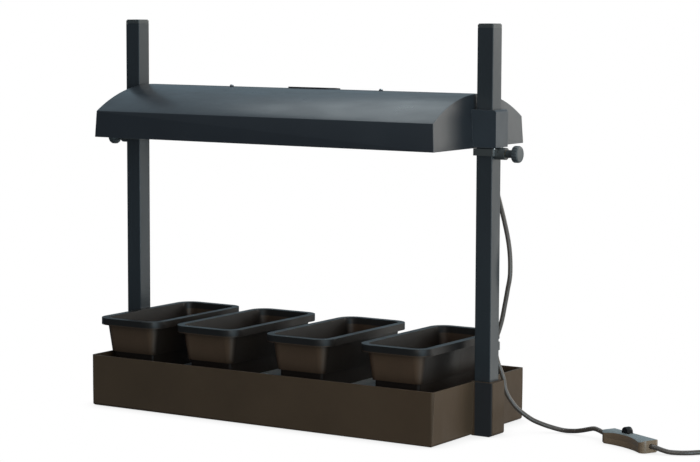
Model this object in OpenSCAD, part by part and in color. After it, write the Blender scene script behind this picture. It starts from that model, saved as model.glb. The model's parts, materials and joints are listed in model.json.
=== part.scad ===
// Table-top led grow light: planting tray with four pots, two square posts and a
// height-adjustable arched hood with an LED strip lamp, fed by a cable with a rocker switch.
// Millimetres. Origin: centre of the tray underside. +X to the cable end, -Y front, +Z up.

/* [Tray] */
// Outside length of the tray at its underside
tray_len = 470; // [300:5:1200]
// Outside width of the tray
tray_wid = 205; // [150:5:400]
// Height of the tray
tray_h = 60.6; // [40:0.2:90]
// How far each end wall leans out at the rim
tray_draft = 1.65; // [0:0.05:4]
// Radius of the upright corners of the tray
tray_r = 4; // [3:0.5:12]
// Wall and floor thickness
tray_wall = 2.5; // [1.5:0.1:4]
// Reach of each post socket beyond the tray centre
socket_out = 260.5; // [250:0.5:300]
// Width of each post socket
socket_wid = 29; // [27:0.5:40]
// Depth of solid plastic under each post
socket_floor = 6; // [3:0.5:12]

/* [Growing surface] */
// Height of the top of the wet mat above the table
mat_top = 45; // [30:0.5:55]
// Thickness of the capillary mat
mat_t = 1.95; // [1:0.05:4]
// Thickness of the platform plate
plat_t = 2; // [1:0.1:4]

/* [Pots] */
// Size of the pot rim along the tray
pot_len = 90; // [60:1:110]
// Size of the pot rim across the tray
pot_wid = 182; // [80:1:190]
// Height of a pot
pot_h = 60; // [40:0.5:90]
// Height of the folded rim
pot_rim = 8; // [4:0.5:12]
// Corner radius of the rim
pot_r = 20; // [12:0.5:30]
// Overhang of the rim over the body
pot_lip = 6.5; // [3:0.5:9]
// Taper of the body from rim to foot step, each side
pot_taper = 6; // [2:0.5:9]
// Height of the recessed foot
pot_foot = 19.5; // [8:0.5:30]
// How far the foot is set back under the body
pot_step = 3.2; // [1:0.1:4]
// Wall thickness of a pot
pot_wall = 1.6; // [1:0.1:3]

/* [Posts] */
// Side of the square post tube
post_w = 20; // [16:0.5:22]
// Wall of the tube
post_wall = 1.5; // [1:0.1:3]
// Distance of each post axis from the centre
post_x = 244.5; // [200:0.5:300]
// Height of the post top with its cap
post_top = 457; // [300:1:600]

/* [Hood] */
// Height of the hood's lower edge above the table
hood_z = 320; // [150:0.5:400]
// Length of the hood at its lower edge
hood_len = 464.5; // [300:0.5:466]
// Width of the hood at its lower edge
hood_wid = 201; // [150:1:300]
// Height of the straight skirt
skirt_h = 30.7; // [20:0.1:60]
// Rise of the arch over the skirt
arch_h = 28.8; // [15:0.1:60]
// Inward lean of the end walls over the skirt height
end_lean = 1.75; // [0:0.05:4]
// Inward lean of the long walls over the skirt height
side_lean = 1.3; // [0:0.05:4]
// Thickness of the hood sheet
hood_t = 1.6; // [1:0.1:3]

/* [Clamps] */
// Reach of the collars beyond the centre
collar_out = 261; // [258:0.5:280]
// Width of a collar
collar_wid = 27; // [25:0.5:40]
// Diameter of the thumb knob
knob_d = 18.7; // [14:0.1:30]
// Number of grip flutes on the knob
knob_flutes = 16; // [8:1:24]
// Diameter of the clamping stud
stud_d = 5.9; // [3.9:0.1:7.9]

/* [Lamp] */
// Length of the lamp extrusion
lamp_len = 410; // [200:5:430]
// Width of the lamp extrusion
lamp_wid = 34; // [25:1:60]
// Height of the lamp extrusion
lamp_h = 22; // [18:0.5:30]
// Lowest point of the lamp above the table
lamp_z = 336.6; // [325:0.1:350]
// LED chips in each of two rows
chips = 24; // [8:1:40]
// Distance of each lamp clip from the centre
clip_x = 104; // [50:1:180]

/* [Cable and switch] */
// Diameter of the cable
cable_d = 5.2; // [4:0.1:8]
// Length of the switch
sw_len = 75; // [60:1:90]
// Width of the switch at its ends
sw_wid = 24; // [22:0.5:36]
// Depth of the finger waist, each side
sw_waist = 4.3; // [1:0.1:6]
// Height of the switch at its crown
sw_h = 15.4; // [13:0.1:20]
// Centre of the switch on the table
sw_pos = [410.8, 22.4];
// Direction of the switch on the table
sw_turn = -26.6; // [-90:0.1:90]
// Tilt of the rocker when the lamp is on
rock_tilt = 8; // [0:0.5:8]

/* [Hidden] */
$fn = 48;
e = 0.01;
gap = 0.05;
post_hole = post_w + 0.8;
plat_z = mat_top - mat_t - gap - plat_t;
pot_z = mat_top + gap;
pot_xs = [-188.6, -76, 51, 178];
pot_y = -8;
skirt_top = hood_z + skirt_h;
skirt_half = hood_wid/2 - side_lean;
arch_r = (pow(skirt_half, 2) + pow(arch_h, 2))/(2*arch_h);
arch_z = skirt_top + arch_h - arch_r;
hood_top = skirt_top + arch_h;
hood_y = 2.2;
collar_z0 = hood_z + 1.5;
collar_z1 = 362.8;
clamp_z0 = 312.2;
clamp_z1 = hood_z - 0.2;
clamp_in = 231;
clamp_out = 258.6;
knob_z = 314.6;
boss_d = 13.4;
boss_out = 267;
knob_in = 267.5;
knob_neck = 276.8;
knob_out = 284.8;
lamp_top = lamp_z + lamp_h;
cap_r_len = 14;
gland_p = [lamp_len/2 + 8, lamp_wid/2 + 0.4, lamp_z + 11];
clip_p = [247.5, 16, 98];
sw_split = 7;
rock_r = 5.2;
rock_x = -3.5;
rock_z = 9.2;
rock_up = 7.2;
plug_p = [530, 98, 7];

// stations of the two cables, smoothed into curves below
run_up = [gland_p + [0, -6, 0], gland_p, gland_p + [0, 5, 0], gland_p + [0, 9, 0], [216, 31.5, 341],
          [220.5, 32.5, 326], [228, 29.5, 300], [243, 27, 262], [258, 23, 215], [262, 20.5, 182],
          [259.1, 20, 161], [256.1, 19.6, 144], [252.9, 19, 127], [249.6, 17.5, 114],
          clip_p + [0, 0, 9.5], clip_p + [0, 0, 5], clip_p];
run_down = [clip_p - [0, 0, 0.1], clip_p - [0, 0, 5], clip_p - [0, 0, 9.5], [249.3, 18, 78],
            [254.5, 20.6, 62], [257.8, 20.9, 47.1], [263.8, 24.7, 34.6], [270.5, 29, 25.5],
            [281.9, 36.3, 15.4], [292.3, 43, 9.7], [303.7, 50.3, 5.2], [315, 54, 3], [328, 52.5, 4],
            [338.5, 50, 6.2], [347, 48, 8.6], [355.3, 46.7, 10.6], [362, 45.6, 9.6],
            sw_at(-sw_len/2 - 8.5, 7.8), sw_at(-sw_len/2 - 2.5, 7.4), sw_at(-sw_len/2 - 0.2, 7.4),
            sw_at(-sw_len/2 + 13, 7.4)];
run_tail = [sw_at(sw_len/2 - 13, 7.4), sw_at(sw_len/2 + 0.2, 7.4), sw_at(sw_len/2 + 2.5, 7.4),
            [450.6, 5.2, 6.5], [457, 6.3, 4.6], [464.5, 8, 3], [474.5, 11.9, 2.65], [483.5, 18, 2.65],
            [490.8, 26, 2.65], [508, 44, 2.65], [521, 62, 2.9], [527.8, 73, 4.8], plug_p - [0, 18, 0],
            plug_p - [0, 12.5, 0], plug_p + [0, 4, 0]];

// point on the switch axis, d from its centre, at height z
function sw_at(d, z) = [sw_pos[0] + d*cos(sw_turn), sw_pos[1] + d*sin(sw_turn), z];
// outside face of the hood end wall at height z
function hood_x(z) = hood_len/2 - (z - hood_z)*end_lean/skirt_h;

// a smooth curve through the stations p, n steps a span
function spline(p, i, u) =
    let(a = p[max(i - 1, 0)], b = p[i], c = p[i + 1], d = p[min(i + 2, len(p) - 1)])
    0.5*(2*b + (c - a)*u + (2*a - 5*b + 4*c - d)*u*u + (3*b - a - 3*c + d)*u*u*u);
function curve(p, n) = concat([for (i = [0:len(p) - 2], k = [0:n - 1]) spline(p, i, k/n)], [p[len(p) - 1]]);
function unit(v) = v/norm(v);
function heading(p, i) = unit(p[min(i + 1, len(p) - 1)] - p[max(i - 1, 0)]);
// a side vector carried along the curve without twist
function carry(p, i, s) =
    i == len(p) ? [] :
    let(t = heading(p, i), m = unit(s - t*(s*t)))
    concat([m], carry(p, i + 1, m));

module wire(p, r, start, sides = 16) {
    m = carry(p, 0, start);
    n = len(p);
    rings = [for (i = [0:n - 1], k = [0:sides - 1])
        p[i] + r*(cos(360*k/sides)*m[i] + sin(360*k/sides)*cross(heading(p, i), m[i]))];
    skin = [for (i = [0:n - 2], k = [0:sides - 1], s = [0, 1])
        let(a = i*sides + k, b = i*sides + (k + 1)%sides)
        s == 0 ? [a, a + sides, b] : [b, a + sides, b + sides]];
    ends = [[for (k = [0:sides - 1]) k], [for (k = [sides - 1:-1:0]) (n - 1)*sides + k]];
    polyhedron(rings, concat(skin, ends), convexity = 6);
}

// a YZ outline run along X, and an XZ outline run along Y, both centred
module along_x(len) rotate([90, 0, 90]) linear_extrude(len, center = true) children();
module along_y(len) rotate([90, 0, 0]) linear_extrude(len, center = true) children();
// the same object at the other end of the stand
module at_end(side) {
    if (side > 0) children();
    else mirror([1, 0, 0]) children();
}
module round_rect(x, y, r) {
    square([x - 2*r, y], center = true);
    square([x, y - 2*r], center = true);
    for (i = [-1, 1], j = [-1, 1])
        translate([i*(x/2 - r), j*(y/2 - r)]) circle(r);
}
module bar_x(d, len) rotate([0, 90, 0]) cylinder(h = len, d = d);
module bar_y(d, len) rotate([-90, 0, 0]) cylinder(h = len, d = d);
module bar_z(d, len) cylinder(h = len, d = d);

// rounded tapering block: corner centres spans apart, corner radius e0 below and e1 above
module taper_block(spans, h, e0, e1) {
    for (i = [-1, 1], j = [-1, 1])
        translate([i*spans[0]/2, j*spans[1]/2, 0]) cylinder(h = h, r1 = e0, r2 = e1);
    along_y(spans[1]) wedge(spans[0], h, e0, e1);
    along_x(spans[0]) wedge(spans[1], h, e0, e1);
}
module wedge(s, h, e0, e1)
    polygon([[-s/2 - e0, 0], [s/2 + e0, 0], [s/2 + e1, h], [-s/2 - e1, h]]);

// upright trough outline: half width a at the bottom, b at the top, rounded bottom corners
module trough(a, b, h, r) {
    polygon([[-a + r, 0], [a - r, 0], [a, r], [b, h], [-b, h], [-a, r]]);
    for (i = [-1, 1])
        translate([i*(a - r), r]) circle(r);
}

// ---- tray ----
module tray_block(inset, bottom, top, r)
    intersection() {
        translate([0, 0, bottom]) linear_extrude(top - bottom)
            round_rect(tray_len + 2*(tray_draft - inset), tray_wid - 2*inset, tray_r - inset);
        translate([0, 0, bottom]) along_y(tray_wid - 2*inset)
            trough(tray_len/2 - inset, tray_len/2 + tray_draft - inset, top - bottom, r);
        translate([0, 0, bottom]) along_x(tray_len + 20)
            trough(tray_wid/2 - inset, tray_wid/2 - inset, top - bottom, r);
    }

module socket_solid()
    intersection() {
        linear_extrude(tray_h) translate([socket_out - 20, 0]) round_rect(40, socket_wid, 2.5);
        along_y(socket_wid + 2) translate([socket_out - 20, 0]) trough(20, 20, tray_h, 5);
        translate([tray_len/2 - 1, -20, 0]) cube([40, 40, tray_h]);
    }

module tray() color([0.17, 0.145, 0.125]) difference() {
    union() {
        difference() {
            tray_block(0, 0, tray_h, 3.5);
            tray_block(tray_wall, tray_wall, tray_h + 1, 1.5);
        }
        for (s = [-1, 1]) at_end(s) {
            socket_solid();
            translate([post_x - post_w/2 - 2.8, -12.6, 1]) cube([5, 25.2, tray_h - 1]);
        }
    }
    for (s = [-1, 1]) at_end(s)
        translate([post_x, 0, socket_floor]) linear_extrude(tray_h)
            round_rect(post_w + 0.3, post_w + 0.3, 1.1);
}

// ---- growing surface ----
module platform() color([0.13, 0.13, 0.135]) difference() {
    union() {
        translate([-229, -98.5, plat_z]) cube([458, 197, plat_t]);
        for (y = [-60, 0, 60])
            translate([-222, y - 0.8, plat_z - 11]) cube([444, 1.6, 11 + e]);
        for (x = [-200, -70, 70, 200], y = [-60, 60])
            translate([x, y, tray_wall + gap]) cylinder(h = plat_z - tray_wall, r1 = 5, r2 = 7);
    }
    translate([-60, 86, plat_z - 1]) cube([120, 5, plat_t + 2]);
    for (x = [-210:30:210], y = [-84, -30, 30])
        translate([x, y, plat_z - 1]) bar_z(5, plat_t + 2);
}

module mat() color([0.42, 0.47, 0.50]) {
    translate([-226, -95.5, mat_top - mat_t]) cube([452, 191, mat_t]);
    translate([-56, 87.6, 4]) cube([112, 1.8, mat_top - mat_t - 4 + e]);
}

// ---- pots ----
module pot(x) {
    spans = [pot_len - 2*pot_r, pot_wid - 2*pot_r];
    top_e = pot_r - pot_lip;
    low_e = top_e - pot_taper;
    rim_z = pot_h - pot_rim;
    translate([x, pot_y, pot_z]) color([0.16, 0.135, 0.115]) difference() {
        union() {
            taper_block(spans, pot_foot + e, low_e - pot_step - 0.5, low_e - pot_step);
            translate([0, 0, pot_foot]) taper_block(spans, pot_h - pot_foot, low_e, top_e);
            translate([0, 0, rim_z]) difference() {
                linear_extrude(pot_rim) round_rect(pot_len, pot_wid, pot_r);
                translate([0, 0, -e]) linear_extrude(pot_rim - 1.8)
                    round_rect(pot_len - 3.2, pot_wid - 3.2, pot_r - 1.6);
            }
        }
        translate([0, 0, 2.2])
            taper_block(spans, pot_foot, low_e - pot_step - 2, low_e - pot_step - 1.6);
        translate([0, 0, pot_foot + 1.2])
            taper_block(spans, pot_h - pot_foot, low_e - pot_wall, top_e - pot_wall);
        for (i = [-1, 1], j = [-1, 0, 1])
            translate([i*16, j*52, -1]) bar_z(8, 6);
    }
}
module pot_1() pot(pot_xs[0]);
module pot_2() pot(pot_xs[1]);
module pot_3() pot(pot_xs[2]);
module pot_4() pot(pot_xs[3]);

// ---- posts ----
module post(s) at_end(s) color([0.20, 0.215, 0.23]) difference() {
    translate([post_x, 0, socket_floor + 0.1])
        linear_extrude(post_top - 4.5 - socket_floor - 0.1) difference() {
            round_rect(post_w, post_w, 1);
            square(post_w - 2*post_wall, center = true);
        }
    if (s > 0)
        translate([clip_p[0] - 7.5, post_w/2 - 3, clip_p[2]]) bar_y(3, 5);
}
module post_left() post(-1);
module post_right() post(1);

module post_cap(s) at_end(s) translate([post_x, 0, post_top - 4.4]) color([0.09, 0.09, 0.095]) {
    linear_extrude(3.4) round_rect(post_w, post_w, 1.2);
    translate([0, 0, 3.4 - e]) linear_extrude(1 + e) round_rect(post_w - 1.6, post_w - 1.6, 1.2);
    translate([0, 0, -13]) linear_extrude(13 + e) difference() {
        square(post_w - 2*post_wall - 0.2, center = true);
        square(post_w - 2*post_wall - 3.2, center = true);
    }
}
module post_cap_left() post_cap(-1);
module post_cap_right() post_cap(1);

// ---- hood ----
module hood_block(inset, low)
    translate([0, hood_y, 0]) intersection() {
        along_x(hood_len + 20) intersection() {
            polygon([[-hood_wid/2 + inset, low], [hood_wid/2 - inset, low], [skirt_half - inset, skirt_top],
                     [skirt_half - inset, 420], [-skirt_half + inset, 420], [-skirt_half + inset, skirt_top]]);
            translate([0, arch_z]) circle(arch_r - inset, $fn = 360);
        }
        along_y(hood_wid + 20)
            polygon([[-hood_x(low) + inset, low], [hood_x(low) - inset, low],
                     [hood_x(420) - inset, 420], [-hood_x(420) + inset, 420]]);
    }

module hood_shell() color([0.15, 0.17, 0.195]) difference() {
    hood_block(0, hood_z);
    hood_block(hood_t, hood_z - 1);
    for (x = [-1, 1])
        translate([x*clip_x, 0, hood_top - 8]) bar_z(3.3, 12);
    for (x = [-1, 1], y = [-11.95, 11.95], z = [331, 353])
        translate([x*(hood_x(z) - 4) - 5, y, z]) bar_x(2.4, 10);
}

// thin sheet following the underside of the arch between radii r0 and r1 from the arch axis
module arch_sheet(r0, r1, half_y, half_x)
    translate([0, hood_y, 0]) along_x(2*half_x) intersection() {
        translate([0, arch_z]) difference() {
            circle(r1, $fn = 360);
            circle(r0, $fn = 360);
        }
        translate([-half_y, arch_z]) square([2*half_y, 2*arch_r]);
    }

module hood_pad() color([0.10, 0.10, 0.115]) intersection() {
    arch_sheet(arch_r + 0.03, arch_r + 1.5, 60, 60);
    translate([1.5, 17.5, hood_top - 20]) linear_extrude(40) {
        square([38, 29], center = true);
        for (i = [-1, 1])
            translate([i*19, 0]) circle(14.5);
    }
}

module reflector() color([0.86, 0.87, 0.88]) difference() {
    arch_sheet(arch_r - hood_t - 0.75, arch_r - hood_t - 0.15, 93, 226);
    for (x = [-1, 1])
        translate([x*clip_x, 0, hood_top - 12]) bar_z(3.6, 16);
}

// ---- collars on the hood ends ----
module collar(s) at_end(s) color([0.12, 0.13, 0.145]) difference() {
    along_y(collar_wid)
        polygon([[hood_x(collar_z0) + 0.03, collar_z0], [collar_out, collar_z0], [collar_out, collar_z1 - 2],
                 [collar_out - 2, collar_z1], [hood_x(collar_z1) + 0.03, collar_z1]]);
    translate([post_x - post_hole/2 - 30, -post_hole/2, collar_z0 - 1])
        cube([post_hole + 30, post_hole, collar_z1 - collar_z0 + 2]);
    for (y = [-11.95, 11.95], z = [331, 353])
        translate([220, y, z]) bar_x(2.06, 24);
    for (y = [-9.5, 9.5])
        translate([256.75, y, collar_z0 - 1]) bar_z(1.86, 11);
}
module collar_left() collar(-1);
module collar_right() collar(1);

module collar_screws(s) at_end(s) color([0.62, 0.63, 0.65])
    for (y = [-11.95, 11.95], z = [331, 353]) {
        translate([hood_x(z) - hood_t - 1.75, y, z]) bar_x(4.2, 1.55);
        translate([hood_x(z) - hood_t - 0.3, y, z]) bar_x(2, 11);
    }
module collar_screws_left() collar_screws(-1);
module collar_screws_right() collar_screws(1);

module clamp(s) at_end(s) color([0.07, 0.07, 0.075]) difference() {
    union() {
        translate([(clamp_in + clamp_out)/2, 0, clamp_z0]) linear_extrude(clamp_z1 - clamp_z0)
            round_rect(clamp_out - clamp_in, 26, 3);
        translate([clamp_out - 3.6, 0, knob_z]) bar_x(boss_d, boss_out - clamp_out + 3.6);
    }
    translate([post_x, 0, clamp_z0 - 5]) linear_extrude(clamp_z1 - clamp_z0 + 12)
        square(post_hole, center = true);
    translate([post_x, 0, knob_z]) bar_x(6.2, 22);
    translate([boss_out - 6.3, 0, knob_z]) bar_x(8.5, 10);
    for (y = [-9.5, 9.5])
        translate([256.75, y, clamp_z0 - 1]) {
            bar_z(1.96, 14);
            bar_z(3, 2.6);
        }
}
module clamp_left() clamp(-1);
module clamp_right() clamp(1);

module clamp_screws(s) at_end(s) color([0.10, 0.10, 0.105])
    for (y = [-9.5, 9.5])
        translate([256.75, y, clamp_z0 + 0.2]) {
            bar_z(2.8, 1.35);
            bar_z(1.8, 17);
        }
module clamp_screws_left() clamp_screws(-1);
module clamp_screws_right() clamp_screws(1);

module insert(s) at_end(s) translate([boss_out - 6.2, 0, knob_z]) color([0.72, 0.56, 0.28]) difference() {
    bar_x(8.44, 6.2);
    translate([-1, 0, 0]) bar_x(stud_d + 0.1, 9);
}
module insert_left() insert(-1);
module insert_right() insert(1);

module tip(s) at_end(s) translate([post_x + post_w/2 + gap, 0, knob_z]) color([0.75, 0.74, 0.70])
    bar_x(5.8, 2);
module tip_left() tip(-1);
module tip_right() tip(1);

module stud(s) at_end(s) translate([post_x + post_w/2 + 2 + 2*gap, 0, knob_z]) color([0.70, 0.71, 0.72])
    bar_x(stud_d, 23);
module stud_left() stud(-1);
module stud_right() stud(1);

module knob(s) at_end(s) translate([knob_in, 0, knob_z]) color([0.11, 0.115, 0.12]) difference() {
    neck = knob_neck - knob_in;
    len = knob_out - knob_in;
    rotate([0, 90, 0]) rotate_extrude() polygon([
        [0, 0], [4.1, 0], [4.4, 0.3], [4.4, neck - 3.4], [5.6, neck - 1.2], [knob_d/2 - 1.6, neck],
        [knob_d/2 - 0.4, neck + 0.4], [knob_d/2, neck + 1.2], [knob_d/2, len - 2.4],
        [knob_d/2 - 0.5, len - 1.2], [knob_d/2 - 1.6, len - 0.5], [5, len - 0.1], [0, len]]);
    translate([-1, 0, 0]) bar_x(stud_d + 0.04, 13.6);
    for (k = [0:knob_flutes - 1])
        rotate([360*k/knob_flutes, 0, 0])
            translate([knob_neck - knob_in - 2, 0, knob_d/2 + 0.55]) bar_x(2.2, 20);
}
module knob_left() knob(-1);
module knob_right() knob(1);

// ---- lamp ----
module lamp_body() color([0.66, 0.67, 0.69]) translate([0, 0, lamp_z]) difference() {
    along_x(lamp_len) translate([0, lamp_h/2]) round_rect(lamp_wid, lamp_h, 3);
    along_x(lamp_len + 2) {
        translate([-14.8, 11.5]) square([29.6, 8]);
        translate([-15.2, -1]) square([30.4, 10.3]);
        for (y = [-1, 1])
            translate([y*15.6, 3.1]) square([1.6, 1.9], center = true);
        for (y = [-1, 1])
            translate([y*17, 10]) square([2.4, 2], center = true);
    }
}

module lamp_cap(len, hollow) difference() {
    union() {
        along_x(len) translate([0, lamp_h/2]) round_rect(lamp_wid + 0.8, lamp_h + 0.8, 3.4);
        translate([-len/2 - 5, -14.4, 12]) cube([5 + e, 28.8, 7]);
    }
    if (hollow) {
        translate([-len/2 - 6, -13, 4]) cube([len + 4, 26, 14]);
        translate([gland_p[0] - lamp_len/2 - gap - len/2, 0, gland_p[2] - lamp_z]) bar_y(7.2, 30);
    }
}
module lamp_cap_left() color([0.10, 0.10, 0.11]) mirror([1, 0, 0])
    translate([lamp_len/2 + gap + 3, 0, lamp_z]) lamp_cap(6, false);
module lamp_cap_right() color([0.10, 0.10, 0.11])
    translate([lamp_len/2 + gap + cap_r_len/2, 0, lamp_z]) lamp_cap(cap_r_len, true);

module diffuser() color([0.92, 0.93, 0.94, 0.6]) translate([0, 0, lamp_z]) along_x(lamp_len - 1) {
    difference() {
        translate([-14.9, 0.3]) square([29.8, 3.5]);
        translate([-13.4, 1.8]) square([26.8, 3]);
    }
    for (y = [-1, 1])
        translate([y*15.4, 3.1]) square([1.2, 1.5], center = true);
}

module led_board() color([0.90, 0.90, 0.88])
    translate([-lamp_len/2 + 4, -11.5, lamp_z + 7.6]) cube([lamp_len - 8, 23, 1.6]);

module led_chips() color([0.95, 0.78, 0.25])
    for (k = [0:chips - 1], y = [-5, 5])
        translate([(k - (chips - 1)/2)*(lamp_len - 24)/(chips - 1) - 1.6, y - 1.6, lamp_z + 6.7])
            cube([3.2, 3.2, 0.85]);

module driver_board() color([0.10, 0.30, 0.18])
    translate([-10, -12, lamp_z + 11.6]) cube([200, 24, 1.5]);

module driver_parts() translate([0, 0, lamp_z + 13.15]) {
    color([0.12, 0.12, 0.14]) {
        translate([20, -10, 0]) cube([16, 14, 5]);
        translate([70, 2, 0]) cube([9, 7, 2.2]);
        translate([120, -9, 0]) cube([12, 9, 4.4]);
    }
    color([0.20, 0.22, 0.30]) {
        translate([44, 3, 2.6]) bar_x(5, 16);
        translate([92, -5, 2.6]) bar_x(5, 18);
    }
    color([0.70, 0.60, 0.30]) translate([172, -8, 0]) cube([12, 16, 5]);
}

module lamp_wires() color([0.55, 0.12, 0.10])
    for (y = [-4, 4])
        translate([192, y, lamp_z + 14.8]) bar_x(2, 19);

module lamp_clips() color([0.60, 0.61, 0.62])
    for (x = [-clip_x, clip_x]) difference() {
        translate([x, 0, 0]) {
            along_x(14) {
                for (y = [-1, 1]) {
                    translate([y*17.95 - 0.6, lamp_z + 9.3]) square([1.2, 39.3 - 9.3]);
                    translate([y*17.35 - 0.95, lamp_z + 9.3]) square([1.9, 1.2]);
                }
                translate([-18.55, lamp_z + 38.1]) square([37.1, 1.2]);
            }
            translate([0, 0, lamp_z + 39.2]) bar_z(9, 1.2);
        }
        translate([x, 0, lamp_z + 30]) bar_z(3.2, 20);
    }

module lamp_screws() color([0.70, 0.71, 0.72])
    for (x = [-clip_x, clip_x])
        translate([x, 0, lamp_z + 38.05]) {
            translate([0, 0, -1.9]) bar_z(5.6, 1.9);
            translate([0, 0, -e]) bar_z(3, hood_top + 2.4 - lamp_z - 38.05);
        }

module lamp_nuts() color([0.45, 0.46, 0.48])
    for (x = [-clip_x, clip_x])
        translate([x, 0, hood_top + 0.03]) difference() {
            union() {
                bar_z(5.4, 0.4);
                cylinder(h = 1.6, d = 5, $fn = 6);
            }
            translate([0, 0, -1]) bar_z(3.06, 5);
        }

// ---- cable ----
module cable_gland() color([0.06, 0.06, 0.065]) translate([gland_p[0], gland_p[1], gland_p[2]]) difference() {
    union() {
        translate([0, -4.6, 0]) bar_y(7.1, 4.7);
        translate([0, 0.05, 0]) bar_y(10, 1.8);
        translate([0, 1.8, 0]) rotate([-90, 0, 0]) cylinder(h = 3, d1 = 8.4, d2 = 7);
        translate([0, -6.2, 0]) bar_y(7.9, 1.6 + e);
    }
    translate([0, -8, 0]) bar_y(cable_d + 0.3, 20);
}

module cable_upper() color([0.05, 0.05, 0.055])
    wire(curve(run_up, 6), cable_d/2, [1, 0, 0]);
module cable_lower() color([0.05, 0.05, 0.055])
    wire(curve(run_down, 6), cable_d/2, [1, 0, 0]);
module cable_tail() color([0.05, 0.05, 0.055])
    wire(curve(run_tail, 6), cable_d/2, [0, 0, 1]);

module cable_clip() color([0.06, 0.06, 0.065]) translate([0, 0, clip_p[2] - 4.5]) difference() {
    union() {
        translate([clip_p[0] - 11.5, post_w/2 + gap, 0]) cube([15, 3, 9]);
        translate([clip_p[0], clip_p[1], 0]) bar_z(cable_d + 3.2, 9);
        translate([clip_p[0] - 4, post_w/2 + gap, 0]) cube([8, 4.5, 9]);
    }
    translate([clip_p[0], clip_p[1], -1]) bar_z(cable_d + 0.3, 11);
    translate([clip_p[0] - 7.5, post_w/2 - 2, 4.5]) bar_y(3.2, 10);
}
module cable_clip_screw() color([0.62, 0.63, 0.65])
    translate([clip_p[0] - 7.5, post_w/2, clip_p[2]]) {
        translate([0, -4, 0]) bar_y(2.9, 7.2);
        translate([0, 3.1, 0]) bar_y(5.4, 1.9);
    }

// ---- in-line switch ----
module sw_outline(inset) {
    depth = (pow(30, 2) + pow(sw_waist, 2))/(2*sw_waist);
    difference() {
        round_rect(sw_len - 2*inset, sw_wid - 2*inset, 6.4 - inset);
        for (j = [-1, 1])
            translate([0, j*(sw_wid/2 - sw_waist + depth)]) circle(depth + inset, $fn = 360);
    }
}
module at_switch() translate([sw_pos[0], sw_pos[1], 0]) rotate([0, 0, sw_turn]) children();

module switch_base() color([0.16, 0.14, 0.125]) at_switch() difference() {
    union() {
        difference() {
            union() {
                linear_extrude(1.2) sw_outline(1);
                translate([0, 0, 1.2 - e]) linear_extrude(sw_split - 1.2) sw_outline(0);
            }
            translate([0, 0, 2]) linear_extrude(10) sw_outline(2.2);
        }
        for (k = [-1, 1])
            translate([k*29, k*6.8, 1]) bar_z(6, sw_split - 1 - e);
    }
    for (k = [-1, 1])
        translate([k*29, k*6.8, -1]) {
            bar_z(2.4, 12);
            bar_z(4.4, 3);
        }
    translate([-sw_len, 0, 7.4]) bar_x(cable_d + 0.4, 2*sw_len);
}

module switch_cover() color([0.15, 0.16, 0.175]) at_switch() difference() {
    intersection() {
        translate([0, 0, sw_split + 0.03]) linear_extrude(sw_h) sw_outline(0);
        translate([0, 0, sw_h - 22]) rotate([0, 90, 0]) cylinder(h = 100, r = 22, center = true, $fn = 360);
        along_y(60) translate([0, sw_h - 480]) circle(480, $fn = 1440);
    }
    difference() {
        translate([0, 0, 6]) linear_extrude(4.6) sw_outline(2.2);
        for (k = [-1, 1])
            translate([k*29, k*6.8, 5]) bar_z(6, 8);
        for (j = [-1, 1])
            translate([rock_x, j*6, 9]) cube([8, 3, 8], center = true);
    }
    translate([rock_x, 0, 10]) cube([12.6, 8.2, 20], center = true);
    translate([rock_x, 0, rock_z]) rotate([90, 0, 0]) cylinder(h = 13.2, d = 2.5, center = true);
    translate([8.5, 0, sw_h + 19.2]) rotate([90, 0, 0]) cylinder(h = 9, r = 20, center = true, $fn = 180);
    for (k = [-1, 1])
        translate([k*29, k*6.8, 4]) bar_z(1.9, 6);
    translate([-sw_len, 0, 7.4]) bar_x(cable_d + 0.4, 2*sw_len);
}

module switch_screws() color([0.62, 0.63, 0.65]) at_switch()
    for (k = [-1, 1])
        translate([k*29, k*6.8, 0.4]) {
            bar_z(3.8, 1.5);
            bar_z(1.8, 9.2);
        }

module switch_contacts() color([0.74, 0.58, 0.30]) at_switch()
    for (k = [-1, 1]) {
        translate([k*19 - 2.5, 1.4, 2.1]) cube([5, 3.6, 5.4]);
        translate([k*19 - 2.5, -5, 2.1]) cube([5, 3.6, 5.4]);
        translate([rock_x + k*4 - 1.2, -2.5, 2.1]) cube([2.4, 5, 0.8]);
    }

// domed rocker, tilted to on, on two trunnions across the switch
module switch_rocker() color([0.03, 0.03, 0.035]) at_switch()
    translate([rock_x, 0, rock_z]) rotate([0, -rock_tilt, 0]) rotate([90, 0, 0]) {
        translate([0, rock_up, 0]) cylinder(h = 7.4, r = rock_r, center = true);
        translate([0, rock_up/2 - 1.5, 0]) cube([2*rock_r, rock_up + 3, 7.4], center = true);
        for (a = [66, 78, 90, 102, 114])
            translate([0, rock_up, 0]) rotate([0, 0, a])
                translate([rock_r - 0.1, 0, 0]) cylinder(h = 6, d = 0.7, center = true);
        cylinder(h = 12.6, d = 2.4, center = true);
    }

// ---- plug ----
module plug_body() color([0.07, 0.07, 0.075]) translate(plug_p) difference() {
    union() {
        along_x(35.3) translate([17.5, 0]) round_rect(35, 13.7, 2.5);
        translate([0, -12, 0]) rotate([-90, 0, 0]) cylinder(h = 12.5, d1 = 7.4, d2 = 10.5);
    }
    for (i = [-1, 1])
        translate([i*36, 0, 0]) rotate([0, 0, i*14]) cube([30, 60, 20], center = true);
    translate([0, -14, 0]) bar_y(cable_d + 0.3, 20);
    for (i = [-1, 1])
        translate([i*9.3, 20, 0]) bar_y(3.24, 20);
}
module plug_pins() color([0.78, 0.78, 0.76])
    for (i = [-1, 1])
        translate(plug_p + [i*9.3, 0, 0]) {
            translate([0, 22, 0]) bar_y(3.2, 13.4);
            translate([0, 35.2, 0]) bar_y(4, 18);
            translate([0, 53.2 - e, 0]) rotate([-90, 0, 0]) cylinder(h = 1 + e, d1 = 4, d2 = 3);
        }

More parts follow.
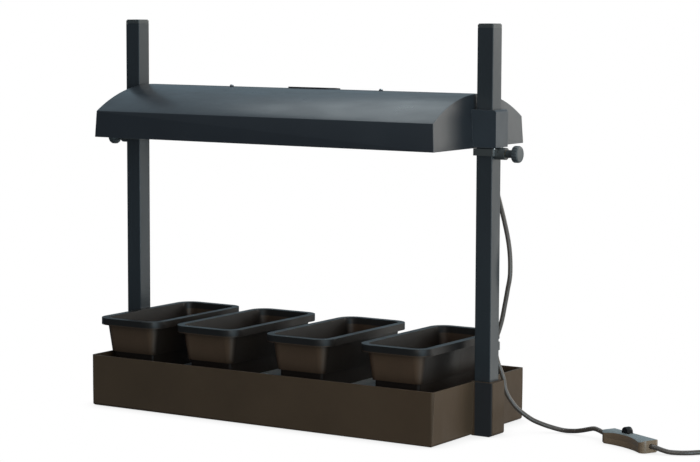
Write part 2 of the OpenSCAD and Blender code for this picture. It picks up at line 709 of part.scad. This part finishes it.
tray();
platform();
mat();
pot_1();
pot_2();
pot_3();
pot_4();
post_left();
post_right();
post_cap_left();
post_cap_right();
hood_shell();
hood_pad();
reflector();
collar_left();
collar_right();
collar_screws_left();
collar_screws_right();
clamp_left();
clamp_right();
clamp_screws_left();
clamp_screws_right();
insert_left();
insert_right();
stud_left();
stud_right();
tip_left();
tip_right();
knob_left();
knob_right();
lamp_body();
lamp_cap_left();
lamp_cap_right();
diffuser();
led_board();
led_chips();
driver_board();
driver_parts();
lamp_wires();
lamp_clips();
lamp_screws();
lamp_nuts();
cable_gland();
cable_upper();
cable_clip();
cable_clip_screw();
cable_lower();
switch_base();
switch_cover();
switch_screws();
switch_contacts();
switch_rocker();
cable_tail();
plug_body();
plug_pins();
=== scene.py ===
import json
import math

import bmesh
import bpy
from mathutils import Matrix, Vector, noise


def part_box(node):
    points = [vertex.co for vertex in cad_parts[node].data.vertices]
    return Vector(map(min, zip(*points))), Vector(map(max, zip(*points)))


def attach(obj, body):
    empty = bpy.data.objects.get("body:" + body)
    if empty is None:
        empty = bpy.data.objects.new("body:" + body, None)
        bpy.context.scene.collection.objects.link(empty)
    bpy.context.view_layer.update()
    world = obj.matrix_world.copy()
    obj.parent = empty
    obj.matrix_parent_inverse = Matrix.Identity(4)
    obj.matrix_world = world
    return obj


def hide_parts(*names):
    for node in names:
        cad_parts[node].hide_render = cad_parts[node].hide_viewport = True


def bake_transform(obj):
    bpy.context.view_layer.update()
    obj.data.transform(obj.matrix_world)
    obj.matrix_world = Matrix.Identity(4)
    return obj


# The grow light's visual model: materials and edge rounding on the CAD nodes, cables and mat drawn again,
# a white stage with soft lights, and the camera. Metres throughout.

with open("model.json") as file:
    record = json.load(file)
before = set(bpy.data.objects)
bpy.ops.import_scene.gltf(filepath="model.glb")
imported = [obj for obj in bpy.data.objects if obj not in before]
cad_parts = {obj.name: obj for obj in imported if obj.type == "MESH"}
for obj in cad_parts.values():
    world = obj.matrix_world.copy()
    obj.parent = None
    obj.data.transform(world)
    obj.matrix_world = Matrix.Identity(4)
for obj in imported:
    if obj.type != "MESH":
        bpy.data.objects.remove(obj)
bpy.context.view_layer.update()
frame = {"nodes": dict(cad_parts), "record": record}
MM = 0.001


# ---------------------------------------------------------------- node helpers
class Nodes:
    """Short hand for building the node tree of a material or of the world."""

    def __init__(self, name, world=None):
        self.mat = world or bpy.data.materials.new(name)
        self.mat.use_nodes = True
        self.tree = self.mat.node_tree
        self.tree.nodes.clear()
        self.out = self.add("ShaderNodeOutputWorld" if world else "ShaderNodeOutputMaterial")
        self.coord = self.add("ShaderNodeTexCoord").outputs["Generated" if world else "Object"]

    def add(self, kind, **values):
        node = self.tree.nodes.new(kind)
        for key, value in values.items():
            setattr(node, key, value)
        return node

    def wire(self, source, target):
        if isinstance(source, (int, float)):
            target.default_value = source
        elif isinstance(source, tuple):
            target.default_value = source if len(source) != 3 or target.type != "RGBA" else (*source, 1)
        else:
            self.tree.links.new(source, target)

    def maths(self, op, a, b=0.0, clamp=False):
        node = self.add("ShaderNodeMath", operation=op, use_clamp=clamp)
        self.wire(a, node.inputs[0])
        self.wire(b, node.inputs[1])
        return node.outputs[0]

    def vmaths(self, op, a, b, out=0):
        node = self.add("ShaderNodeVectorMath", operation=op)
        self.wire(a, node.inputs[0])
        self.wire(b, node.inputs[1])
        return node.outputs[out]

    def noise(self, scale, detail=3.0, rough=0.55, stretch=(1.0, 1.0, 1.0)):
        place = self.add("ShaderNodeMapping")
        place.inputs["Scale"].default_value = stretch
        self.wire(self.coord, place.inputs["Vector"])
        node = self.add("ShaderNodeTexNoise")
        self.wire(place.outputs[0], node.inputs["Vector"])
        node.inputs["Scale"].default_value = scale
        node.inputs["Detail"].default_value = detail
        node.inputs["Roughness"].default_value = rough
        return node.outputs[0]

    def span(self, value, a0, a1, b0, b1):
        node = self.add("ShaderNodeMapRange")
        self.wire(value, node.inputs[0])
        for k, v in enumerate((a0, a1, b0, b1)):
            node.inputs[k + 1].default_value = v
        return node.outputs[0]

    def mix(self, factor, a, b):
        node = self.add("ShaderNodeMix", data_type="RGBA")
        self.wire(factor, node.inputs["Factor"])
        self.wire(a, node.inputs[6])
        self.wire(b, node.inputs[7])
        return node.outputs[2]

    def bump(self, height, strength, distance, normal=None):
        node = self.add("ShaderNodeBump")
        node.inputs["Strength"].default_value = strength
        node.inputs["Distance"].default_value = distance
        self.wire(height, node.inputs["Height"])
        if normal is not None:
            self.wire(normal, node.inputs["Normal"])
        return node.outputs[0]

    def edge(self, radius):
        """1 on sharp outside edges, 0 on flats."""
        soft = self.add("ShaderNodeBevel", samples=4)
        soft.inputs["Radius"].default_value = radius
        flat = self.add("ShaderNodeNewGeometry").outputs["Normal"]
        same = self.vmaths("DOT_PRODUCT", soft.outputs[0], flat, 1)
        return self.span(same, 0.995, 0.80, 0.0, 1.0)


def scaled(colour, k):
    return tuple(min(1.0, c * k) for c in colour)


EDGE_RADIUS = 0.9 * MM  # how far worn edges and painted edge highlights reach
FADE = 1.5 * MM  # width of the soft border of a tinted end region
# ray samples for the painted shade near neighbouring surfaces
GAP_SAMPLES = 6


def surface(name, colour, rough=0.45, metal=0.0, spec=0.5, vary=0.12, grain=1100.0, grain_up=0.10,
            wear_and_edge_highlight=0.35, wear_and_edge_highlight_colour=None, coat=0.0, streak=(1.0, 1.0, 1.0), smudge=0.08, emit=None,
            emit_power=0.0, transmit=0.0, beyond=None, below=None, turned=None, gap=0.0):
    """A procedural look: mottled colour, uneven gloss, fine moulded grain, light edges for wear and painted
    highlights, and painted shade.

    beyond: (axis, reach, colour, frontal) paints shade on what lies further out than reach, on front faces
    only when frontal is set.
    below: (height, colour) paints shade on what lies under a height.
    turned: (direction, start, full, colour) paints light and shade on faces by how squarely they face along a
    direction.
    gap: distance within which neighbouring surfaces darken the colour as painted shade.
    """
    n = Nodes(name)
    bsdf = n.add("ShaderNodeBsdfPrincipled")
    n.wire(bsdf.outputs[0], n.out.inputs["Surface"])
    cloud = n.noise(9.0, 4.0, 0.6, streak)
    speck = n.noise(70.0, 5.0, 0.65, streak)
    base = n.mix(n.span(cloud, 0.3, 0.7, 0, 1), scaled(colour, 1 - vary), scaled(colour, 1 + vary))
    base = n.mix(n.span(speck, 0.62, 0.86, 0, 0.35), base, scaled(colour, 1 + 3 * vary))
    # painted shade on what lies beyond a reach
    if beyond:
        axis, reach, other, frontal = beyond
        where, facing = n.add("ShaderNodeSeparateXYZ"), n.add("ShaderNodeSeparateXYZ")
        n.wire(n.coord, where.inputs[0])
        n.wire(n.add("ShaderNodeNewGeometry").outputs["Normal"], facing.inputs[0])
        part = n.span(n.maths("ABSOLUTE", where.outputs[axis]), reach, reach + FADE, 0, 1)
        if frontal:
            part = n.maths("MULTIPLY", part, n.span(facing.outputs[1], -0.5, -0.95, 0, 1))
        base = n.mix(part, base, other)
    # painted shade under a height
    if below:
        level = n.add("ShaderNodeSeparateXYZ")
        n.wire(n.coord, level.inputs[0])
        base = n.mix(n.span(level.outputs[2], below[0], below[0] + 0.0004, 1, 0), base, below[1])
    # painted light and shade by the way a face is turned
    if turned:
        toward, start, full, other = turned
        aim = n.vmaths("DOT_PRODUCT", n.add("ShaderNodeNewGeometry").outputs["Normal"], toward, 1)
        base = n.mix(n.span(n.maths("ABSOLUTE", aim), start, full, 0, 1), base, other)
    # painted shade near neighbouring surfaces
    if gap:
        near = n.add("ShaderNodeAmbientOcclusion", samples=GAP_SAMPLES)
        near.inputs["Distance"].default_value = gap
        base = n.mix(n.span(near.outputs["AO"], 0.35, 0.85, 0.85, 0), base, scaled(colour, 0.15))
    # light edges: wear on most parts, painted edge highlights on the hood, collars and tray
    worn_and_highlit_edge_colour = wear_and_edge_highlight_colour or tuple(0.6 * c + 0.05 for c in scaled(colour, 1.6))
    mask = n.maths("MULTIPLY", n.edge(EDGE_RADIUS), n.span(n.noise(60.0), 0.35, 0.7, 0.3, 1.0))
    mask = n.maths("MULTIPLY", mask, wear_and_edge_highlight, True)
    base = n.mix(mask, base, worn_and_highlit_edge_colour)
    n.wire(base, bsdf.inputs["Base Color"])
    wipe = n.noise(16.0, 3.0, 0.5, (1.0, 2.5, 0.6))
    gloss = n.maths("ADD", n.span(wipe, 0.3, 0.7, rough - smudge, rough + smudge),
                    n.span(speck, 0.4, 0.8, -0.02, 0.04), True)
    n.wire(gloss, bsdf.inputs["Roughness"])
    bsdf.inputs["Metallic"].default_value = metal
    bsdf.inputs["Specular IOR Level"].default_value = spec
    bsdf.inputs["Coat Weight"].default_value = coat
    bsdf.inputs["Coat Roughness"].default_value = 0.18
    bsdf.inputs["Transmission Weight"].default_value = transmit
    fine = n.noise(grain, 2.0, 0.5, streak)
    normal = n.bump(fine, grain_up, 0.0002)
    normal = n.bump(n.noise(35.0, 2.0, 0.5), 0.05, 0.0006, normal)
    n.wire(normal, bsdf.inputs["Normal"])
    if emit:
        n.wire(emit, bsdf.inputs["Emission Color"])
        bsdf.inputs["Emission Strength"].default_value = emit_power
    return n.mat


def felt(name, colour):
    """Wet capillary felt: tangled fibres, darker damp patches, low dull bumps."""
    n = Nodes(name)
    bsdf = n.add("ShaderNodeBsdfPrincipled")
    n.wire(bsdf.outputs[0], n.out.inputs["Surface"])
    fibre = n.noise(650.0, 6.0, 0.75, (1.0, 0.35, 1.0))
    cross = n.noise(650.0, 6.0, 0.75, (0.35, 1.0, 1.0))
    weave = n.maths("MAXIMUM", fibre, cross)
    damp = n.span(n.noise(12.0, 4.0, 0.6), 0.42, 0.62, 0.0, 1.0)
    tone = n.mix(n.span(weave, 0.35, 0.75, 0, 1), scaled(colour, 0.55), scaled(colour, 1.3))
    tone = n.mix(n.maths("MULTIPLY", damp, 0.5), tone, scaled(colour, 0.42))
    n.wire(tone, bsdf.inputs["Base Color"])
    n.wire(n.span(damp, 0, 1, 0.85, 0.42), bsdf.inputs["Roughness"])
    bsdf.inputs["Sheen Weight"].default_value = 0.4
    n.wire(n.bump(weave, 0.6, 0.0008), bsdf.inputs["Normal"])
    return n.mat


def board(name, colour, copper):
    """Circuit board: solder mask with faint tracks."""
    n = Nodes(name)
    bsdf = n.add("ShaderNodeBsdfPrincipled")
    n.wire(bsdf.outputs[0], n.out.inputs["Surface"])
    cells = n.add("ShaderNodeTexBrick")
    n.wire(n.coord, cells.inputs["Vector"])
    cells.inputs["Scale"].default_value = 60.0
    cells.inputs["Mortar Size"].default_value = 0.02
    n.wire(scaled(colour, 0.92), cells.inputs["Color1"])
    n.wire(scaled(colour, 1.06), cells.inputs["Color2"])
    n.wire(copper, cells.inputs["Mortar"])
    tone = n.mix(n.span(n.noise(140.0), 0.4, 0.7, 0, 0.3), cells.outputs[0], scaled(colour, 1.2))
    n.wire(tone, bsdf.inputs["Base Color"])
    n.wire(n.span(n.noise(50.0), 0.3, 0.7, 0.25, 0.42), bsdf.inputs["Roughness"])
    n.wire(n.bump(cells.outputs[1], 0.3, 0.0002), bsdf.inputs["Normal"])
    return n.mat


SOCKET_FROM = 237.2 * MM  # the sockets on the end walls stand out beyond this distance from the centre; their fronts carry painted shade
POT_RIM_LOW = 96.8 * MM  # height of the lower edge of the pot rims; the rims above it carry painted shade
POT_FOOT_TOP = 64.5 * MM  # height where the pots step in to their feet; the feet below it carry painted shade

SLOTS = {
    # painted light and shade: the light edges are painted highlights, the socket fronts carry painted shade
    "tray_plastic": surface("tray_plastic", (0.082, 0.053, 0.032), 0.56, spec=0.15, vary=0.10, wear_and_edge_highlight=0.45,
                            grain_up=0.16, wear_and_edge_highlight_colour=(0.26, 0.20, 0.15),
                            beyond=(0, SOCKET_FROM, (0.030, 0.031, 0.033), True)),
    "platform_plastic": surface("platform_plastic", (0.018, 0.018, 0.020), 0.5, grain_up=0.2),
    "mat_felt": felt("mat_felt", (0.018, 0.056, 0.066)),
    # painted shade: dark rims, dark feet, dark flanks and darkening near neighbouring surfaces
    "pot_plastic": surface("pot_plastic", (0.092, 0.056, 0.034), 0.40, spec=0.25, wear_and_edge_highlight=0.25,
                           beyond=(2, POT_RIM_LOW, (0.016, 0.015, 0.014), False),
                           below=(POT_FOOT_TOP, (0.016, 0.015, 0.015)),
                           turned=((1, 0, 0), 0.75, 0.97, (0.014, 0.012, 0.011)), gap=0.08),
    "post_paint": surface("post_paint", (0.033, 0.039, 0.043), 0.38, spec=0.40, grain=1500, grain_up=0.22,
                          wear_and_edge_highlight=0.12, streak=(1, 1, 0.4), coat=0.1),
    "black_plastic": surface("black_plastic", (0.060, 0.064, 0.062), 0.42, wear_and_edge_highlight=0.35),
    # the light edges are painted highlights of the rounded edges
    "hood_paint": surface("hood_paint", (0.022, 0.026, 0.031), 0.36, spec=0.6, grain=1400, grain_up=0.18,
                          wear_and_edge_highlight=0.6, wear_and_edge_highlight_colour=(0.15, 0.17, 0.18), streak=(0.5, 1, 1), coat=0.2),
    "pad_plastic": surface("pad_plastic", (0.012, 0.011, 0.015), 0.4),
    "reflector_sheet": surface("reflector_sheet", (0.86, 0.87, 0.88), 0.22, metal=1.0, vary=0.03, wear_and_edge_highlight=0.1,
                               streak=(0.15, 1, 1)),
    # the light edges are painted highlights of the rounded edges
    "collar_plastic": surface("collar_plastic", (0.034, 0.043, 0.052), 0.44, wear_and_edge_highlight=0.8,
                              wear_and_edge_highlight_colour=(0.22, 0.24, 0.25), grain_up=0.14),
    "screw_steel": surface("screw_steel", (0.60, 0.61, 0.62), 0.28, metal=1.0, wear_and_edge_highlight=0.3, grain=400),
    "brass": surface("brass", (0.34, 0.25, 0.12), 0.45, metal=1.0, wear_and_edge_highlight=0.3),
    "tip_nylon": surface("tip_nylon", (0.70, 0.69, 0.64), 0.5),
    "knob_plastic": surface("knob_plastic", (0.060, 0.068, 0.070), 0.40, wear_and_edge_highlight=0.4, grain_up=0.14),
    "lamp_aluminium": surface("lamp_aluminium", (0.62, 0.63, 0.65), 0.34, metal=1.0, streak=(0.05, 1, 1),
                              grain=300, grain_up=0.25, wear_and_edge_highlight=0.2),
    "diffuser_plastic": surface("diffuser_plastic", (0.90, 0.92, 0.95), 0.45, vary=0.02, wear_and_edge_highlight=0.05,
                                transmit=0.7, grain=500, emit=(0.86, 0.93, 1.0), emit_power=1.0),
    "board_white": board("board_white", (0.85, 0.85, 0.83), (0.70, 0.70, 0.66)),
    "led_phosphor": surface("led_phosphor", (0.92, 0.74, 0.22), 0.3, emit=(0.86, 0.93, 1.0), emit_power=4.0),
    "board_green": board("board_green", (0.02, 0.15, 0.06), (0.30, 0.24, 0.06)),
    "driver_plastic": surface("driver_plastic", (0.05, 0.05, 0.08), 0.35),
    "wire_red": surface("wire_red", (0.40, 0.04, 0.03), 0.35),
    "spring_steel": surface("spring_steel", (0.56, 0.57, 0.58), 0.3, metal=1.0, streak=(1, 0.1, 0.1)),
    "nut_steel": surface("nut_steel", (0.10, 0.105, 0.115), 0.34, metal=1.0, wear_and_edge_highlight=0.6),
    "cable_rubber": surface("cable_rubber", (0.095, 0.076, 0.062), 0.32, spec=0.6, grain=600, grain_up=0.12,
                            wear_and_edge_highlight=0.0),
    # painted light: the warm brown stands for warm light falling on a black plastic
    "switch_base_plastic": surface("switch_base_plastic", (0.25, 0.172, 0.11), 0.42, spec=0.3, wear_and_edge_highlight=0.2),
    # painted light: the blue-grey top is a painted sheen, the sides carry the painted warm brown of the base
    "switch_cover_plastic": surface("switch_cover_plastic", (0.22, 0.245, 0.245), 0.34, wear_and_edge_highlight=0.3,
                                    turned=((0, 0, 1), 0.80, 0.45, (0.25, 0.172, 0.11))),
    "rocker_gloss": surface("rocker_gloss", (0.006, 0.006, 0.007), 0.14, wear_and_edge_highlight=0.1, smudge=0.04,
                            grain_up=0.02),
    "pin_brass": surface("pin_brass", (0.74, 0.72, 0.68), 0.2, metal=1.0),
}

NODE_SLOT = {row["node"]: row["material_slot"] for row in frame["record"]["subparts"]}


# ---------------------------------------------------------------- CAD nodes
ROUND = {  # edge rounding of each moulded or bent piece, in millimetres
    "tray": 0.8, "platform": 0.4, "hood_shell": 0.6, "hood_pad": 0.5, "reflector": 0, "led_chips": 0.15,
    "pot_1": 0.6, "pot_2": 0.6, "pot_3": 0.6, "pot_4": 0.6, "switch_cover": 0.9, "switch_base": 0.7,
    "plug_body": 1.4, "knob_left": 0.35, "knob_right": 0.35, "collar_left": 0.9, "collar_right": 0.9,
    "clamp_left": 0.6, "clamp_right": 0.6, "post_cap_left": 0.5, "post_cap_right": 0.5, "lamp_body": 0.3,
    "lamp_cap_left": 0.7, "lamp_cap_right": 0.7, "cable_clip": 0.5, "driver_parts": 0.3, "switch_rocker": 0.3,
}
ROUND_OTHER = 0.2  # every piece not named above
ROUND_ANGLE = 32  # degrees between faces from which an edge is rounded
WELD_GAP = 0.01 * MM


def round_edges(obj, width):
    weld = obj.modifiers.new("weld", "WELD")
    weld.merge_threshold = WELD_GAP
    bevel = obj.modifiers.new("round", "BEVEL")
    bevel.width = width * MM
    bevel.segments = 3
    bevel.limit_method = "ANGLE"
    bevel.angle_limit = math.radians(ROUND_ANGLE)
    bevel.harden_normals = False
    bevel.use_clamp_overlap = True
    bevel.miter_outer = "MITER_ARC"


for node, obj in frame["nodes"].items():
    obj.data.materials.clear()
    obj.data.materials.append(SLOTS[NODE_SLOT[node]])
    width = ROUND.get(node, ROUND_OTHER)
    if width:
        round_edges(obj, width)


# ---------------------------------------------------------------- pieces rebuilt for looks
def new_object(name, mesh, slot, body=None, smooth=True):
    obj = bpy.data.objects.new(name, mesh)
    bpy.context.collection.objects.link(obj)
    mesh.materials.clear()
    mesh.materials.append(SLOTS[slot])
    mesh.shade_smooth() if smooth else mesh.shade_flat()
    if body:
        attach(obj, body)
    return obj


def sheath(node):
    """A cable drawn again from its CAD run, with its points joined so that it shades smoothly."""
    bm = bmesh.new()
    bm.from_mesh(frame["nodes"][node].data)
    bmesh.ops.remove_doubles(bm, verts=bm.verts, dist=WELD_GAP)
    mesh = bpy.data.meshes.new(node + "_sheath")
    bm.to_mesh(mesh)
    bm.free()
    obj = new_object(node + "_sheath", mesh, "cable_rubber")
    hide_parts(node)
    return obj


upper = sheath("cable_upper")
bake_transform(upper)
for run in ("cable_lower", "cable_tail"):
    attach(sheath(run), "base")


SHEET = 1.9 * MM  # thickness of the felt
NAP = 0.25 * MM  # how far the felt's top lies under the CAD top, leaving room for lumps
BROAD, FINE = (55, 0.22 * MM), (420, 0.12 * MM)  # frequency and height of the lumps
EDGE_DROP = {0: 0.9 * MM, 1: 0.25 * MM}  # how far the outer two rows of points sink
TAIL_Y, TAIL_WIDE, TAIL_THICK, TAIL_CUTS = 88.5 * MM, 112 * MM, 1.7 * MM, 20


def felt_sheet(node, step, body):
    """Soft mat: a thick sheet with a lumpy top, rounded edges and a tail that hangs into the water."""
    lo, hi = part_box(node)
    nx = int((hi.x - lo.x) / step)
    ny = int((hi.y - lo.y) / step)
    bm = bmesh.new()
    top, low = [], []
    for j in range(ny + 1):
        for i in range(nx + 1):
            x = lo.x + (hi.x - lo.x) * i / nx
            y = lo.y + (hi.y - lo.y) * j / ny
            drop = EDGE_DROP.get(min(i, j, nx - i, ny - j), 0)
            lump = noise.noise(Vector((x, y, 0)) * BROAD[0]) * BROAD[1]
            lump += noise.noise(Vector((x, y, 3)) * FINE[0]) * FINE[1]
            top.append(bm.verts.new((x, y, hi.z - NAP - drop + lump)))
            low.append(bm.verts.new((x, y, hi.z - SHEET)))
    row = nx + 1
    for j in range(ny):
        for i in range(nx):
            a = j * row + i
            bm.faces.new([top[k] for k in (a, a + 1, a + row + 1, a + row)])
            bm.faces.new([low[k] for k in (a, a + row, a + row + 1, a + 1)])
    loop = list(range(nx)) + [j * row + nx for j in range(ny)]
    loop += [ny * row + i for i in range(nx, 0, -1)] + [j * row for j in range(ny, 0, -1)]
    for a, b in zip(loop, loop[1:] + loop[:1]):
        bm.faces.new([top[b], top[a], low[a], low[b]])
    mesh = bpy.data.meshes.new(node + "_felt")
    bm.to_mesh(mesh)
    bm.free()
    obj = new_object(node + "_felt", mesh, "mat_felt", body)
    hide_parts(node)
    tail_mesh = bpy.data.meshes.new(node + "_tail")
    bm = bmesh.new()
    bmesh.ops.create_cube(bm, size=1)
    tail_high = hi.z - SHEET
    size = Vector((TAIL_WIDE, TAIL_THICK, tail_high - lo.z))
    for v in bm.verts:
        v.co = Vector((0, TAIL_Y, (lo.z + tail_high) / 2)) + Vector(a * b for a, b in zip(v.co, size))
    bmesh.ops.subdivide_edges(bm, edges=bm.edges, cuts=TAIL_CUTS, use_grid_fill=True)
    bm.to_mesh(tail_mesh)
    bm.free()
    tail = new_object(node + "_tail", tail_mesh, "mat_felt", body)
    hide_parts(node)


MAT_STEP = 3.0 * MM  # spacing of the points of the felt sheet
felt_sheet("mat", MAT_STEP, "growing_surface")


# ---------------------------------------------------------------- stage, light and camera
FLOOR_SIZE = 14
FLOOR_DROP = 0.3 * MM
SHADOW_REACH = 30 * MM  # how far the contact shadow spreads on the floor
SHADOW, PAPER = (0.80, 0.80, 0.80), (1.0, 1.0, 1.0)


def white_floor(name):
    """Pale paper: plain white to the camera with a faint contact shadow, clear to every other ray."""
    n = Nodes(name)
    path = n.add("ShaderNodeLightPath")
    near = n.add("ShaderNodeAmbientOcclusion", samples=8)
    near.inputs["Distance"].default_value = SHADOW_REACH
    shade = n.mix(n.span(near.outputs["AO"], 0.25, 0.9, 0, 1), SHADOW, PAPER)
    seen = n.add("ShaderNodeEmission")
    n.wire(shade, seen.inputs["Color"])
    clear = n.add("ShaderNodeBsdfTransparent")
    pick = n.add("ShaderNodeMixShader")
    n.wire(path.outputs["Is Camera Ray"], pick.inputs[0])
    n.wire(clear.outputs[0], pick.inputs[1])
    n.wire(seen.outputs[0], pick.inputs[2])
    n.wire(pick.outputs[0], n.out.inputs["Surface"])
    return n.mat


bpy.ops.mesh.primitive_plane_add(size=FLOOR_SIZE, location=(0, 0, -FLOOR_DROP))
floor = bpy.context.object
floor.name = "floor"
floor.data.materials.append(white_floor("floor_paper"))

AMBIENT = (0.05, 0.055, 0.065)  # glow of the studio from every side
SKY_LOBES = [  # direction, cosine where the glow starts, cosine where it is full, colour
    ((0.00, 0.00, 1.00), -0.1, 0.9, (0.26, 0.31, 0.35)),
    ((0.54, 0.84, 0.00), 0.30, 0.95, (0.16, 0.17, 0.17)),
    ((0.99, -0.05, 0.10), 0.40, 0.98, (0.20, 0.18, 0.15)),
    ((-0.54, 0.84, 0.15), 0.30, 0.95, (0.08, 0.14, 0.17)),
    ((0.88, -0.47, 0.00), 0.88, 0.985, (2.0, 2.8, 3.3)),
]
world = bpy.data.worlds.new("studio")
bpy.context.scene.world = world
w = Nodes("studio", world)
glow = AMBIENT
for toward, start, full, colour in SKY_LOBES:
    heading = w.vmaths("NORMALIZE", w.coord, (0, 0, 0))
    facing = w.vmaths("DOT_PRODUCT", heading, tuple(Vector(toward).normalized()), 1)
    glow = w.vmaths("ADD", glow, w.vmaths("MULTIPLY", w.span(facing, start, full, 0, 1), colour))
lit, seen = w.add("ShaderNodeBackground"), w.add("ShaderNodeBackground")
w.wire(glow, lit.inputs[0])
seen.inputs[0].default_value = (1, 1, 1, 1)
pick = w.add("ShaderNodeMixShader")
w.wire(w.add("ShaderNodeLightPath").outputs["Is Camera Ray"], pick.inputs[0])
w.wire(lit.outputs[0], pick.inputs[1])
w.wire(seen.outputs[0], pick.inputs[2])
w.wire(pick.outputs[0], w.out.inputs[0])


def softbox(name, place, target, size, power, colour=(1, 1, 1)):
    data = bpy.data.lights.new(name, "AREA")
    data.shape = "RECTANGLE"
    data.size, data.size_y = size
    data.energy = power
    data.color = colour
    lamp = bpy.data.objects.new(name, data)
    bpy.context.collection.objects.link(lamp)
    lamp.location = place
    lamp.rotation_euler = (Vector(target) - Vector(place)).to_track_quat("-Z", "Y").to_euler()
    lamp.visible_camera = False


softbox("key", (1.6, 2.0, 1.3), (0, 0, 0.2), (1.6, 1.6), 14, (1.0, 0.95, 0.88))
softbox("card", (1.15, 1.0, 0.25), (0.25, 0, 0.22), (1.0, 1.4), 5.6, (1.0, 0.97, 0.91))
softbox("top", (0.2, 0.2, 2.6), (0, 0, 0.2), (2.4, 1.8), 17, (0.90, 0.98, 1.0))
softbox("crest", (-0.38, 0.48, 1.30), (0.20, -0.07, 0.36), (0.6, 0.6), 1.3, (0.90, 0.98, 1.0))
softbox("fill", (0.75, -0.95, 0.32), (0.1, 0, 0.2), (0.5, 0.5), 2.0, (1.0, 0.93, 0.86))

cam_data = bpy.data.cameras.new("camera")
cam = bpy.data.objects.new("camera", cam_data)
bpy.context.collection.objects.link(cam)
bpy.context.scene.camera = cam
cam_data.sensor_width = 36.0
cam_data.lens = 116.95
cam_place = (1.4712, -2.1887, 0.4883)
yaw, pitch, roll = math.radians(32.757), math.radians(5.942), math.radians(0.20)
ahead = Vector((-math.sin(yaw) * math.cos(pitch), math.cos(yaw) * math.cos(pitch), -math.sin(pitch)))
side = Vector((math.cos(yaw), math.sin(yaw), 0))
above = side.cross(ahead)
side, above = math.cos(roll) * side + math.sin(roll) * above, math.cos(roll) * above - math.sin(roll) * side
turn = Matrix((side, above, -ahead)).transposed().to_4x4()
cam.matrix_world = Matrix.Translation(cam_place) @ turn
cam_data.clip_start, cam_data.clip_end = 0.05, 60

bpy.context.scene.view_settings.view_transform = "Standard"
